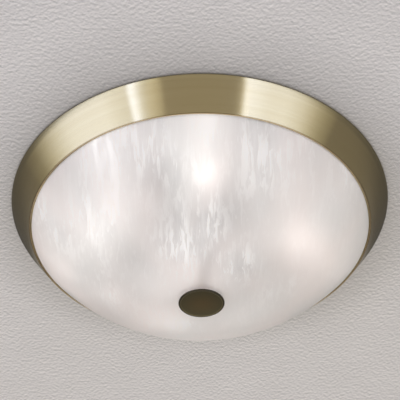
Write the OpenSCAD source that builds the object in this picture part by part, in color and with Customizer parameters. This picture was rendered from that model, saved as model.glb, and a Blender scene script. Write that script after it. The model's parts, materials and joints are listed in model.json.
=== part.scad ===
// Flush ceiling light: a spun brass ring holds a shallow glass bowl, and a disc screwed onto the
// centre rod closes it. Three lamps lie flat inside, pointing outwards.
// The origin is at the ceiling, on the centre line, and everything hangs below it.

/* [Ring] */
// Outer radius of the ring at the ceiling
ring_r = 210; // [204:1:230]
// Distance of the ring's lower rim inside its outer edge
ring_taper = 22; // [20:0.5:28]
// Height of the ring from the ceiling to its lower rim
ring_h = 33.5; // [31:0.5:42]
// Thickness of the ring's sheet
ring_t = 0.6; // [0.5:0.1:0.9]
// Bend radius of the edge at the ceiling
edge_r = 1; // [0.8:0.1:2]
// Radius of the soft shoulder below that edge
shoulder_r = 50; // [30:1:80]
// Bend radius of the rolled hem at the lower rim
hem_r = 0.5; // [0.4:0.1:0.8]
// Width of the flange that lies under the pan
flange_w = 14; // [12:1:20]
// Width of the inner shelf that the glass closes against
shelf_w = 9; // [7:0.5:12]
// Height of that shelf above the lower rim
shelf_up = 3.9; // [3.5:0.1:6]
// Height of the stiffening lip on the shelf's inner edge
shelf_lip = 3; // [2:0.5:5]
// Thickness of the soft seat ring under the shelf
seat_t = 1.2; // [0.8:0.1:1.6]
// Rivets round the flange
rivet_count = 6; // [4:1:12]
// Radius of a ring rivet's shank
rivet_r = 2; // [1.5:0.1:2.5]

/* [Ceiling pan] */
// Thickness of the pan's sheet
pan_t = 1; // [0.8:0.1:1.5]
// Distance of the pan's edge inside the ring's outer edge
pan_inset = 11; // [10:0.5:14]
// Radius of the recess pressed into the middle
recess_r = 43; // [40:1:46]
// Depth of that recess
recess_h = 9; // [8:0.5:11]
// Diameter of the circle of ceiling screws
screw_circle = 210; // [190:1:230]
// Number of ceiling screw holes
screw_count = 4; // [4:4:8]
// Radius of a ceiling screw hole
screw_hole_r = 2.75; // [2:0.05:3.5]
// Distance of the cable hole from the centre
cable_out = 122; // [116:1:140]
// Radius of the cable hole's bore in its grommet
cable_r = 6.5; // [4:0.5:8]
// Wall of the grommet
grommet_t = 3; // [2:0.5:4]

/* [Glass bowl] */
// Thickness of the glass
bowl_t = 4; // [3:0.5:5]
// Depth of the bowl below the ring's lower rim
bowl_h = 85; // [76:1:110]
// Play between the glass rim and the ring all round
bowl_play = 0.8; // [0.5:0.1:1.2]
// Wall of the soft bush in the glass hole
bush_wall = 1.8; // [1.2:0.1:3]
// Width of the bush's flanges on the glass
bush_flange_w = 4.4; // [3:0.2:6]
// Thickness of the bush's flanges
bush_flange_t = 1.5; // [1:0.1:2]

/* [Rod and finial] */
// Radius of the threaded rod
rod_r = 5; // [4:0.5:6]
// Radius of the hole along the rod
rod_bore_r = 3.5; // [1.5:0.1:3.7]
// Running clearance between the rod and the finial's thread
thread_play = 0.06; // [0.02:0.01:0.09]
// Travel per turn of the finial
finial_pitch = 1; // [0.75:0.25:1.5]
// Wall of the finial's threaded neck
neck_wall = 2.4; // [1.8:0.1:3]
// Length of the threaded neck above the disc
neck_len = 17; // [14:0.5:22]
// Radius of the finial disc
disc_r = 24.2; // [20:0.1:30]
// Thickness of the finial disc
disc_t = 2; // [1.6:0.1:3]
// Height of the raised rim on the disc's face
disc_rim_h = 0.25; // [0.1:0.05:0.5]
// Width of that rim
disc_rim_w = 1.8; // [1:0.1:3]
// Thickness of the washer above the disc
washer_t = 0.8; // [0.5:0.1:1.2]
// Thickness of the rod's nuts
nut_t = 4; // [3:0.5:4]
// Width of the rod's nuts across the flats
nut_flats = 15; // [14:0.5:17]

/* [Lamps and holders] */
// Distance from the centre to the lampholders' backs
holder_out = 22; // [21:0.5:26]
// Radius of a lampholder
holder_r = 20; // [18.5:0.5:21]
// Length of a lampholder
holder_len = 36; // [34:1:40]
// Thickness of a lampholder's floor at its back
holder_floor = 11; // [9:0.5:12]
// Gap between the lampholders and the carrier above
holder_gap = 3.5; // [2:0.5:6]
// Thickness of the carrier's sheet
carrier_t = 1.5; // [1:0.1:2]
// Width of the carrier's ears
ear_w = 28; // [25:1:29]
// Radius of a lamp's globe
globe_r = 30; // [27:0.5:31]
// Length of a lamp from its contact to the tip of its globe
lamp_len = 102; // [98:1:106]
// Thickness of a lamp's glass
globe_t = 1; // [0.8:0.1:1.5]
// Radius over the thread of a lamp's cap
cap_r = 13; // [12.6:0.05:13.1]
// Depth of the cap's rolled thread
thread_depth = 0.9; // [0.5:0.1:1.2]
// Travel per turn of a lamp
thread_pitch = 3.629; // [3.2:0.001:4]
// Length of a lamp's cap
cap_len = 22; // [20:0.5:24]
// Thickness of the screw shells' sheet
shell_t = 0.4; // [0.3:0.05:0.6]
// Play between a cap's thread and its shell
shell_play = 0.4; // [0.2:0.1:0.5]

/* [Wiring] */
// Radius of a lead over its insulation
lead_r = 1.2; // [0.8:0.1:1.3]
// Spacing of the terminal strip's ways
way_pitch = 8; // [7.5:0.1:9]
// Depth of the terminal strip from front to back
strip_d = 17; // [15:0.5:20]
// Height of the terminal strip
strip_h = 14; // [12:0.5:16]
// Distance from the centre to the terminal strip
strip_out = 76; // [74:0.5:80]
// Bore of a terminal clamp
clamp_bore_r = 1.5; // [1.4:0.1:1.6]
// Wall of a terminal clamp
clamp_wall = 0.9; // [0.6:0.1:1.1]

/* [Hidden] */
$fn = 96;

// Gap left between pieces that only rest against each other
seat_gap = 0.2;
// Gap round screws and rivets in their holes
hole_gap = 0.1;
// Directions of the three lamps; the fourth quarter holds the wiring
lamp_angles = [0, 180, 270];

// Length of the cutters that make holes through sheet metal
cut_len = 10;

// Ring: centres of its bends, in radius and height
ring_rim_r = ring_r - ring_taper;
pan_r = ring_r - pan_inset;
edge_c = [ring_r - ring_t / 2 - edge_r, -ring_t / 2 - edge_r];
// The shoulder starts a few degrees steeper than the cone
shoulder_turn = 6;
shoulder_from = shoulder_turn - atan2(ring_taper, ring_h);
shoulder_c = edge_c - (shoulder_r - edge_r) * [cos(shoulder_from), sin(shoulder_from)];
hem_c = [ring_rim_r - ring_t / 2 - hem_r, -ring_h + ring_t / 2 + hem_r];
// The cone touches the shoulder and the hem, and this is the direction it faces
cone_span = shoulder_c - hem_c;
cone_facing = atan2(cone_span[1], cone_span[0]) - acos((hem_r - shoulder_r) / norm(cone_span));
opening_r = ring_rim_r - 2 * ring_t - 2 * hem_r;
shelf_in_r = opening_r - shelf_w;
shelf_z = -ring_h + shelf_up;
flange_z = -pan_t - ring_t / 2;
flange_in_r = pan_r - flange_w;
rivet_circle_r = pan_r - flange_w / 2;
joggle_gap = 0.8;

// Bowl: a spherical cap through the rim and the lowest point
bowl_rim_r = opening_r - bowl_play;
bowl_top_z = shelf_z - seat_t - seat_gap;
bowl_low_z = -ring_h - bowl_h;
bowl_sphere_r = (pow(bowl_rim_r, 2) + pow(bowl_h, 2)) / (2 * bowl_h);
bowl_centre_z = bowl_low_z + bowl_sphere_r;

// Stack on the rod, from the pan down to the finial
recess_z = -recess_h;
carrier_z = recess_z - pan_t;
rod_washer_t = 1;
rod_top_z = recess_z + rod_washer_t + nut_t + 1.5;
neck_r = rod_r + thread_play + neck_wall;
neck_play = 0.3;
bush_bore_r = neck_r + neck_play;
bowl_hole_r = bush_bore_r + bush_wall + seat_gap;
bush_low_z = bowl_low_z - bush_flange_t;
washer_z = bush_low_z - seat_gap;
disc_z = washer_z - washer_t - seat_gap;
neck_top_z = disc_z + neck_len;
rod_low_z = disc_z + 1.5;
finial_turns = 12;
finial_travel = finial_turns * finial_pitch;

// Lamps: distances along a lamp's own axis are measured from the tip of its contact
lamp_z = carrier_z - carrier_t - holder_gap - holder_r;
contact_tip = 2;
base_len = 5;
contact_gap = 0.3;
spring_h = 3;
lamp_out = holder_out + holder_floor + spring_h;
holder_bore_r = cap_r + shell_play + shell_t + 1;
cap_end = base_len - 1 + cap_len;
neck_glass_r = 14.2;
flare_r = 35;
stem_r = cap_r - thread_depth - 1;
collar_len = 3;
thread_sides = 24;
thread_steps = 7;

// Wiring
way_count = 7;
way_drop = 8;
strip_z = -pan_t;
way_z = strip_z - way_drop;
strip_w = way_count * way_pitch + 4;
lead_grip = 3;
lead_hole_r = lead_r + 0.3;
lead_sides = 8;
lead_rings = 13;
lead_in = 7;
lead_tilt = [50, 8];
tag_pos = [-50, 62];
earth_screw_r = 2;

// Point i of a circle's arc, from one angle to another in n steps; first leaves out points
function arc(centre, r, from, to, n = 8, first = 0) =
    [for (i = [first:n]) centre + r * [cos(from + (to - from) * i / n), sin(from + (to - from) * i / n)]];

function unit(v) = v / norm(v);
function left_of(v) = [-v[1], v[0]];
function reversed(list) = [for (i = [len(list) - 1:-1:0]) list[i]];

// A path moved sideways, with its corners mitred
function beside(path, off) = [for (i = [0:len(path) - 1])
    let (before = unit(i > 0 ? path[i] - path[i - 1] : path[1] - path[0]),
         after = unit(i < len(path) - 1 ? path[i + 1] - path[i] : path[i] - path[i - 1]),
         mitre = unit(left_of(before) + left_of(after)))
    path[i] + mitre * off / (mitre * left_of(before))];

// Outline of a bent sheet of thickness t whose middle follows the path
function sheet(path, t) = concat(beside(path, t / 2), reversed(beside(path, -t / 2)));

// Smooth curve through points, at place s from 0 to 1, with its end directions kept
function on_curve(points, s) =
    let (last = len(points) - 1,
         k = min(floor(s * last), last - 1),
         f = s * last - k,
         a = points[max(k - 1, 0)],
         b = points[k],
         c = points[k + 1],
         d = points[min(k + 2, last)])
    0.5 * (2 * b + (c - a) * f + (2 * a - 5 * b + 4 * c - d) * f * f
        + (3 * b - a - 3 * c + d) * f * f * f);

// Puts a child that is built along +Z from a lamp's contact tip onto lamp i's axis
module on_lamp(i, out = lamp_out) {
    rotate([0, 0, lamp_angles[i]])
        translate([out, 0, lamp_z])
            rotate([0, 90, 0]) children();
}

// A place given along lamp i, to its left and above the ceiling line, in the whole light's frame
function at_lamp(i, along, side, z) =
    let (a = lamp_angles[i])
    [along * cos(a) - side * sin(a), along * sin(a) + side * cos(a), z];

// Round tube along a smooth curve
module lead(points) {
    count = lead_rings;
    lean = unit([0.1, 0.23, 1]);
    spine = [for (k = [0:count - 1]) on_curve(points, k / (count - 1))];
    rings = [for (k = [0:count - 1])
        let (ahead = unit(spine[min(k + 1, count - 1)] - spine[max(k - 1, 0)]),
             across = unit(cross(lean, ahead)),
             up = cross(ahead, across))
        for (j = [0:lead_sides - 1])
            spine[k] + lead_r * (cos(360 * j / lead_sides) * across + sin(360 * j / lead_sides) * up)];
    sides = [for (k = [0:count - 2], j = [0:lead_sides - 1])
        let (a = k * lead_sides + j,
             b = k * lead_sides + (j + 1) % lead_sides)
        each [[a, a + lead_sides, b], [b, a + lead_sides, b + lead_sides]]];
    first_end = [for (j = [0:lead_sides - 1]) j];
    last_end = [for (j = [lead_sides - 1:-1:0]) (count - 1) * lead_sides + j];
    polyhedron(points = rings, faces = concat(sides, [first_end, last_end]));
}

// Sheet spun round the centre line
module spun(path, t) {
    rotate_extrude($fn = 180) polygon(sheet(path, t));
}

// Domed rivet head on its shank, with the head below
module rivet(r, grip) {
    cylinder(r = r, h = grip, $fn = 24);
    rotate_extrude($fn = 24) intersection() {
        translate([0, r * 0.75]) circle(r = r * 1.9);
        translate([0, -r * 1.15]) square([r * 1.75, r * 1.15]);
    }
}

// Cheese-head screw with a slot: the head lies below z = 0 and the shank above
module screw(r, grip) {
    head_r = 1.9 * r;
    head_h = 1.2 * r;
    difference() {
        union() {
            cylinder(r = r, h = grip, $fn = 24);
            translate([0, 0, -head_h]) cylinder(r = head_r, h = head_h, $fn = 32);
        }
        translate([-head_r, -head_r * 0.12, -head_h - 1]) cube([2 * head_r, head_r * 0.24, 1 + head_h * 0.45]);
    }
}

module ring_holes() {
    for (k = [0:rivet_count - 1])
        rotate([0, 0, 360 * (k + 0.5) / rivet_count])
            translate([rivet_circle_r, 0, -cut_len / 2]) cylinder(r = rivet_r + hole_gap, h = cut_len, $fn = 24);
}

carrier_rivet_at = 27;
carrier_rivet_r = 1.6;
module carrier_holes() {
    for (k = [0:3])
        rotate([0, 0, 45 + 90 * k])
            translate([carrier_rivet_at, 0, carrier_z - cut_len / 2])
                cylinder(r = carrier_rivet_r + hole_gap, h = cut_len, $fn = 24);
}

strip_screw_r = 1.6;
foot_w = 8;
foot_h = 4;
module at_strip_screws() {
    for (side = [-1, 1])
        translate([side * (strip_w + foot_w) / 2, strip_out + strip_d / 2, 0]) children();
}

// Ceiling pan: flat plate with a recess pressed down in the middle
module ceiling_pan() {
    bend = 2.5;
    top = -pan_t / 2;
    low = recess_z - pan_t / 2;
    wall = recess_r + pan_t / 2 + 1.2;
    path = concat(
        [[rod_r + 0.3, low]],
        arc([recess_r - bend, low + bend], bend, -90, -15, 6),
        arc([wall + bend, top - bend], bend, 165, 90, 6),
        [[pan_r, top]]);
    color("white") difference() {
        spun(path, pan_t);
        ring_holes();
        carrier_holes();
        for (k = [0:screw_count - 1])
            rotate([0, 0, 45 + 360 * k / screw_count])
                translate([screw_circle / 2, 0, -cut_len / 2]) cylinder(r = screw_hole_r, h = cut_len, $fn = 32);
        translate([0, 0, -cut_len / 2]) {
            translate([0, cable_out, 0]) cylinder(r = cable_r + grommet_t, h = cut_len, $fn = 48);
            at_strip_screws() cylinder(r = strip_screw_r + hole_gap, h = cut_len, $fn = 24);
            translate([tag_pos[0], tag_pos[1], 0]) cylinder(r = earth_screw_r + hole_gap, h = cut_len, $fn = 24);
        }
    }
}

// Brass ring: one spun sheet from the flange under the pan, over the edge, down the cone, round
// the rolled hem and up to the shelf for the glass
module brass_ring() {
    bend = 1.2;
    wall_r = hem_c[0] - hem_r;
    shelf_mid = shelf_z + ring_t / 2;
    path = concat(
        [[flange_in_r, flange_z], [pan_r + joggle_gap, flange_z]],
        [[pan_r + joggle_gap + 1.4, -ring_t / 2]],
        arc(edge_c, edge_r, 90, shoulder_from, 8),
        arc(shoulder_c, shoulder_r, shoulder_from, cone_facing, 8, 1),
        arc(hem_c, hem_r, cone_facing, -180, 8),
        arc([wall_r - bend, shelf_mid - bend], bend, 0, 90, 5),
        arc([shelf_in_r + bend, shelf_mid + bend], bend, 270, 180, 5),
        [[shelf_in_r, shelf_mid + shelf_lip]]);
    color("darkkhaki") difference() {
        spun(path, ring_t);
        ring_holes();
    }
}

module ring_rivets() {
    color("gainsboro")
        for (k = [0:rivet_count - 1])
            rotate([0, 0, 360 * (k + 0.5) / rivet_count])
                translate([rivet_circle_r, 0, -pan_t - ring_t]) rivet(rivet_r, pan_t + ring_t - 0.1);
}

// Soft seat ring glued under the shelf
module seat_ring() {
    color("ivory") translate([0, 0, shelf_z - seat_t]) difference() {
        cylinder(r = opening_r - 1.5, h = seat_t, $fn = 180);
        translate([0, 0, -1]) cylinder(r = shelf_in_r + 1.5, h = seat_t + 2, $fn = 180);
    }
}

// Grommet for the supply cable: a short neck in the hole and a flange below it
module cable_grommet() {
    flange_h = 2;
    neck = cable_r + grommet_t - hole_gap;
    color("dimgray") translate([0, cable_out, 0]) rotate_extrude($fn = 64)
        polygon([[cable_r, -0.1], [neck, -0.1], [neck, -pan_t], [neck + 3, -pan_t],
            [neck + 2.6, -pan_t - flange_h], [cable_r, -pan_t - flange_h]]);
}

module centre_rod() {
    color("goldenrod") difference() {
        translate([0, 0, rod_low_z]) cylinder(r = rod_r, h = rod_top_z - rod_low_z, $fn = 64);
        translate([0, 0, rod_low_z - 1]) cylinder(r = rod_bore_r, h = rod_top_z - rod_low_z + 2, $fn = 48);
    }
}

nut_r = nut_flats / sqrt(3);
rod_fit = 0.05;

// Hexagon nut with its corners turned off at both faces
module nut() {
    chamfer = 0.5;
    difference() {
        intersection() {
            cylinder(r = nut_r, h = nut_t, $fn = 6);
            rotate_extrude($fn = 64) polygon([[0, 0], [nut_flats / 2, 0], [nut_r, chamfer],
                [nut_r, nut_t - chamfer], [nut_flats / 2, nut_t], [0, nut_t]]);
        }
        translate([0, 0, -1]) cylinder(r = rod_r + rod_fit, h = nut_t + 2, $fn = 64);
    }
}

under_carrier_z = carrier_z - carrier_t;
module rod_nuts() {
    color("silver") {
        translate([0, 0, recess_z + rod_washer_t]) nut();
        translate([0, 0, under_carrier_z - rod_washer_t - nut_t]) rotate([0, 0, 15]) nut();
    }
}

module rod_washers() {
    color("lightgray")
        for (z = [recess_z, under_carrier_z - rod_washer_t])
            translate([0, 0, z]) difference() {
                cylinder(r = nut_flats / 2 + 2.5, h = rod_washer_t, $fn = 64);
                translate([0, 0, -1]) cylinder(r = rod_r + 0.2, h = rod_washer_t + 2, $fn = 64);
            }
}

// Carrier: a plate on the rod with three ears bent down, one behind each lampholder
module lamp_carrier() {
    bend = 2.5;
    plate_r = 32;
    mid = carrier_z - carrier_t / 2;
    ear_mid = holder_out - carrier_t / 2;
    ear_low = lamp_z - holder_r + 3;
    path = concat(
        [[0, mid]],
        arc([ear_mid - bend, mid - bend], bend, 90, 0, 6),
        [[ear_mid, ear_low]]);
    color("lightsteelblue") difference() {
        union() {
            difference() {
                translate([0, 0, under_carrier_z]) cylinder(r = plate_r, h = carrier_t, $fn = 96);
                for (i = [0:len(lamp_angles) - 1])
                    rotate([0, 0, lamp_angles[i]])
                        translate([ear_mid - bend, -ear_w / 2 - 1, under_carrier_z - 1])
                            cube([plate_r, ear_w + 2, carrier_t + 2]);
            }
            for (i = [0:len(lamp_angles) - 1])
                rotate([0, 0, lamp_angles[i]])
                    rotate([90, 0, 0])
                        linear_extrude(ear_w, center = true) polygon(sheet(path, carrier_t));
        }
        translate([0, 0, under_carrier_z - 1]) cylinder(r = rod_r + 0.2, h = carrier_t + 2, $fn = 64);
        carrier_holes();
        for (i = [0:len(lamp_angles) - 1])
            on_lamp(i, 0)
                for (side = [-1, 1])
                    translate([0, side * holder_screw_at, ear_mid - 3])
                        cylinder(r = holder_screw_r + hole_gap, h = 6, $fn = 24);
    }
}

module carrier_rivets() {
    color("gainsboro")
        for (k = [0:3])
            rotate([0, 0, 45 + 90 * k])
                translate([carrier_rivet_at, 0, under_carrier_z]) rivet(carrier_rivet_r, carrier_t + pan_t);
}

holder_screw_at = 10;
holder_screw_r = 1.5;
holder_screw_grip = 7;

// Lampholder: a porcelain cup with a stepped back, two lead holes and a rolled mouth
module lampholder(i) {
    step = 9;
    back_r = holder_r - 1.5;
    mouth = 1.5;
    floor_z = holder_floor;
    color("snow") on_lamp(i, holder_out) difference() {
        rotate_extrude($fn = 96) polygon(concat(
            [[0, 0], [back_r, 0], [back_r, step], [holder_r, step + 1.5]],
            arc([holder_r - mouth, holder_len - mouth], mouth, 0, 90, 5),
            arc([holder_bore_r + mouth, holder_len - mouth], mouth, 90, 180, 5),
            [[holder_bore_r, floor_z], [0, floor_z]]));
        for (side = [-1, 1])
            translate([0, side * holder_screw_at, -1])
                cylinder(r = holder_screw_r + hole_gap, h = holder_screw_grip, $fn = 24);
        for (tilt = lead_tilt)
            rotate([0, 0, lead_turn(i, tilt)])
                translate([back_r - lead_grip - 0.5, 0, lead_in - lead_r])
                    rotate([0, 90, 0]) translate([-lead_r, 0, 0])
                        cylinder(r = lead_hole_r, h = lead_grip + 3, $fn = 24);
    }
}

// Leads reach a holder on this side of its axis: 1 is to the left, looking outwards
lead_side = [1, -1, 1];
// Turn about a lamp's own axis that brings its downward direction to a lead's entry
function lead_turn(i, tilt) = lead_side[i] * (90 + tilt);

module holder_screws() {
    color("silver")
        for (i = [0:len(lamp_angles) - 1], side = [-1, 1])
            on_lamp(i, holder_out - carrier_t)
                translate([0, side * holder_screw_at, 0])
                    screw(holder_screw_r, carrier_t + holder_screw_grip - 2);
}

// Screw shell: thin brass sleeve in the holder, with a floor ring that the spring passes through
module screw_shell(i) {
    inner = cap_r + shell_play;
    outer = inner + shell_t;
    low = holder_floor;
    high = holder_len - 2;
    color("khaki") on_lamp(i, holder_out) rotate_extrude($fn = 96) polygon([
        [inner - 3, low], [outer, low], [outer, high], [inner, high],
        [inner, low + shell_t], [inner - 3, low + shell_t]]);
}

// Spring contact: a strip riveted to the holder's floor that rises to the lamp's contact
module spring_contact(i) {
    strip_w = 6;
    strip_t = 0.5;
    tip = spring_h - contact_gap - strip_t / 2;
    path = concat(
        [[-8, strip_t / 2], [-3.5, strip_t / 2]],
        [[0, tip - 0.5]],
        [[1.5, tip], [3.5, tip]],
        [[6.5, tip - 1.2]]);
    color("peru") on_lamp(i, holder_out + holder_floor) union() {
        rotate([0, 0, 90]) rotate([90, 0, 0])
            linear_extrude(strip_w, center = true) polygon(sheet(path, strip_t));
        translate([0, -6, 0]) cylinder(r = 1.4, h = 1.1, $fn = 24);
    }
}

// Terminal strip: seven ways with a bore through each, a well for each screw and ribs between
module terminal_strip() {
    rib_gap = 1.2;
    rib_depth = 2.5;
    color("whitesmoke") difference() {
        union() {
            translate([-strip_w / 2, strip_out, strip_z - strip_h]) cube([strip_w, strip_d, strip_h]);
            translate([-strip_w / 2 - foot_w, strip_out + (strip_d - foot_w) / 2, strip_z - foot_h])
                cube([strip_w + 2 * foot_w, foot_w, foot_h]);
        }
        for (k = [0:way_count - 1]) translate([way_x(k), 0, 0]) {
            translate([0, strip_out - 1, way_z]) rotate([-90, 0, 0])
                cylinder(r = clamp_r + hole_gap, h = strip_d + 2, $fn = 32);
            for (y = clamp_screw_y)
                translate([0, y, strip_z - strip_h - 1])
                    cylinder(r = clamp_screw_r + 0.5, h = strip_h - 6, $fn = 24);
        }
        for (k = [0:way_count - 2])
            translate([way_x(k) + (way_pitch - rib_gap) / 2, strip_out - 1, strip_z - strip_h - 1])
                cube([rib_gap, strip_d + 2, rib_depth + 1]);
        translate([0, 0, strip_z - cut_len / 2])
            at_strip_screws() cylinder(r = strip_screw_r + hole_gap, h = cut_len, $fn = 24);
    }
}

clamp_r = clamp_bore_r + clamp_wall;
clamp_screw_r = 1.5;
clamp_screw_y = [strip_out + strip_d * 0.27, strip_out + strip_d * 0.73];
function way_x(k) = (k - (way_count - 1) / 2) * way_pitch;

module strip_screws() {
    color("silver") translate([0, 0, strip_z - foot_h])
        at_strip_screws() screw(strip_screw_r, foot_h + pan_t - hole_gap);
}

module terminal_clamps() {
    color("khaki")
        for (k = [0:way_count - 1])
            translate([way_x(k), strip_out + 1, way_z]) rotate([-90, 0, 0]) difference() {
                cylinder(r = clamp_r, h = strip_d - 2, $fn = 32);
                translate([0, 0, -1]) cylinder(r = clamp_bore_r, h = strip_d, $fn = 32);
            }
}

module clamp_screws() {
    low = strip_z - strip_h + 0.6;
    color("silver")
        for (k = [0:way_count - 1], y = clamp_screw_y)
            translate([way_x(k), y, low]) difference() {
                cylinder(r = clamp_screw_r, h = way_z - clamp_r - hole_gap - low, $fn = 24);
                translate([-2, -0.25, -1]) cube([4, 0.5, 1.6]);
            }
}

// Earth tag: a ring terminal under its screw, with a barrel for the lead
tag_t = 0.8;
tag_barrel = 6;
module earth_tag() {
    color("silver") translate([tag_pos[0], tag_pos[1], -pan_t]) difference() {
        union() {
            translate([0, 0, -tag_t]) cylinder(r = 4.5, h = tag_t, $fn = 48);
            translate([0, -1.8, -tag_t]) cube([8, 3.6, tag_t]);
            translate([7, 0, -lead_hole_r - 0.6]) rotate([0, 90, 0])
                cylinder(r = lead_hole_r + 0.6, h = tag_barrel, $fn = 32);
        }
        translate([0, 0, -cut_len / 2]) cylinder(r = earth_screw_r + hole_gap, h = cut_len, $fn = 24);
        translate([8.5, 0, -lead_hole_r - 0.6]) rotate([0, 90, 0]) cylinder(r = lead_hole_r, h = tag_barrel, $fn = 32);
    }
}

module earth_screw() {
    color("goldenrod") translate([tag_pos[0], tag_pos[1], -pan_t - tag_t])
        screw(earth_screw_r, pan_t + tag_t - hole_gap);
}

// Leads: each starts in a terminal clamp and ends in its holder or tag
function in_clamp(k) = [[way_x(k), strip_out + lead_grip, way_z], [way_x(k), strip_out - 3, way_z]];
function in_holder(i, tilt) =
    let (reach = holder_r - 1.5,
         ways = [reach + 7, reach + 2, reach - lead_grip])
    [for (r = ways) at_lamp(i, holder_out + lead_in, lead_side[i] * r * cos(tilt), lamp_z + r * sin(tilt))];

module earth_lead() {
    barrel_z = -pan_t - lead_hole_r - 0.6;
    color("yellowgreen") lead(concat(in_clamp(0),
        [[-24, 67, -7], [-28, 62.5, barrel_z - 1.5]],
        [[tag_pos[0] + 16, tag_pos[1], barrel_z], [tag_pos[0] + 10, tag_pos[1], barrel_z]]));
}

// Points of each lamp's two leads between its clamp and its holder
live_routes = [
    [[17, 62, -9], [24, 46, -11]],
    [[-12, 62, -9], [-22, 46, -11]],
    [[6, 62, -8], [30, 50, -6], [50, 24, -5], [52, -4, -5], [47, -24, -7], [42, -31, -13], [31, -32, -15]]];
neutral_routes = [
    [[26, 62, -10], [31, 44, -24]],
    [[-20, 60, -10], [-30, 44, -24]],
    [[11, 64, -7], [34, 56, -5], [55, 28, -4.5], [57, -4, -4.5], [52, -28, -8], [44, -34, -20], [34, -32, -28]]];
live_ways = [5, 2, 3];
neutral_ways = [6, 1, 4];

module live_lead(i) {
    color("saddlebrown") lead(concat(in_clamp(live_ways[i]), live_routes[i], in_holder(i, lead_tilt[0])));
}

module neutral_lead(i) {
    color("royalblue") lead(concat(in_clamp(neutral_ways[i]), neutral_routes[i], in_holder(i, lead_tilt[1])));
}

// Glass bowl: a spherical cap of even thickness with a ground rim and one hole
module glass_bowl() {
    color("ghostwhite") difference() {
        intersection() {
            translate([0, 0, bowl_centre_z]) sphere(r = bowl_sphere_r, $fn = 360);
            translate([0, 0, bowl_low_z - 1]) cylinder(r = bowl_rim_r, h = bowl_top_z - bowl_low_z + 1, $fn = 180);
        }
        translate([0, 0, bowl_centre_z]) sphere(r = bowl_sphere_r - bowl_t, $fn = 360);
        translate([0, 0, bowl_low_z - 2]) cylinder(r = bowl_hole_r, h = bowl_t + 4, $fn = 64);
    }
}

// Height of the inside of the glass at radius r
function inside_z(r) = bowl_centre_z - sqrt(pow(bowl_sphere_r - bowl_t, 2) - r * r);

// Soft bush: its waist lies in the glass hole and its flanges on both faces of the glass
module bowl_bush() {
    waist_r = bowl_hole_r - seat_gap;
    flange_r = waist_r + bush_flange_w;
    high = inside_z(flange_r) + 0.05;
    color("lightgray") rotate_extrude($fn = 96) polygon([
        [bush_bore_r, bush_low_z], [flange_r, bush_low_z], [flange_r, bowl_low_z], [waist_r, bowl_low_z],
        [waist_r, high], [flange_r, high], [flange_r, high + bush_flange_t], [bush_bore_r, high + bush_flange_t]]);
}

module finial_washer() {
    color("silver") translate([0, 0, washer_z - washer_t]) difference() {
        cylinder(r = bush_bore_r + 5, h = washer_t, $fn = 96);
        translate([0, 0, -1]) cylinder(r = neck_r + 0.15, h = washer_t + 2, $fn = 96);
    }
}

spigot_r = 4;
spigot_h = 1;

// Threaded neck of the finial, closed at the bottom and spigoted into the disc
module finial_neck() {
    chamfer = 0.8;
    bore_end = rod_low_z - 0.8;
    color("goldenrod") difference() {
        union() {
            rotate_extrude($fn = 96) polygon([
                [0, disc_z], [neck_r, disc_z], [neck_r, neck_top_z - chamfer],
                [neck_r - chamfer, neck_top_z], [0, neck_top_z]]);
            translate([0, 0, disc_z - spigot_h + 0.05]) cylinder(r = spigot_r - 0.05, h = spigot_h, $fn = 64);
        }
        translate([0, 0, bore_end]) cylinder(r = rod_r + thread_play, h = neck_len + 2, $fn = 64);
    }
}

// Finial disc: a turned disc with rounded edges and a fine raised rim round its face
module finial_disc() {
    round_r = min(0.8, disc_t * 0.4);
    low = disc_z - disc_t;
    face = low + disc_rim_h;
    color("darkolivegreen") difference() {
        rotate_extrude($fn = 128) polygon(concat(
            [[0, disc_z]],
            arc([disc_r - round_r, disc_z - round_r], round_r, 90, 0, 5),
            arc([disc_r - round_r, low + round_r], round_r, 0, -90, 5),
            [[disc_r - disc_rim_w, low], [disc_r - disc_rim_w - disc_rim_h, face], [0, face]]));
        translate([0, 0, disc_z - spigot_h]) cylinder(r = spigot_r, h = spigot_h + 1, $fn = 64);
    }
}

// Lamp glass: a sealed globe with a flared neck and a stem that sits in the cap
module lamp_glass(i) {
    stem_low = cap_end - 9;
    color("white") on_lamp(i) difference() {
        rotate_extrude($fn = 96) polygon(concat(
            [[0, stem_low], [stem_r, stem_low], [stem_r, cap_end + 0.2], [neck_glass_r, cap_end + 1]],
            glass_arcs(0)));
        rotate_extrude($fn = 96) polygon(concat(
            [[0, cap_end + 2.5], [neck_glass_r - globe_t, cap_end + 2.5]],
            glass_arcs(globe_t)));
    }
}

// A concave flare that touches the neck and the globe, then the globe to its tip
function glass_arcs(inset) =
    let (globe = globe_r - inset,
         flare = flare_r + inset,
         neck = neck_glass_r - inset,
         centre = lamp_len - globe_r,
         back = sqrt(pow(globe + flare, 2) - pow(neck + flare, 2)),
         meet = atan2(back, neck + flare))
    concat(
        arc([neck + flare, centre - back], flare, 180, 180 - meet, 10),
        arc([0, centre], globe, -meet, 90, 28, 1));

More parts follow.
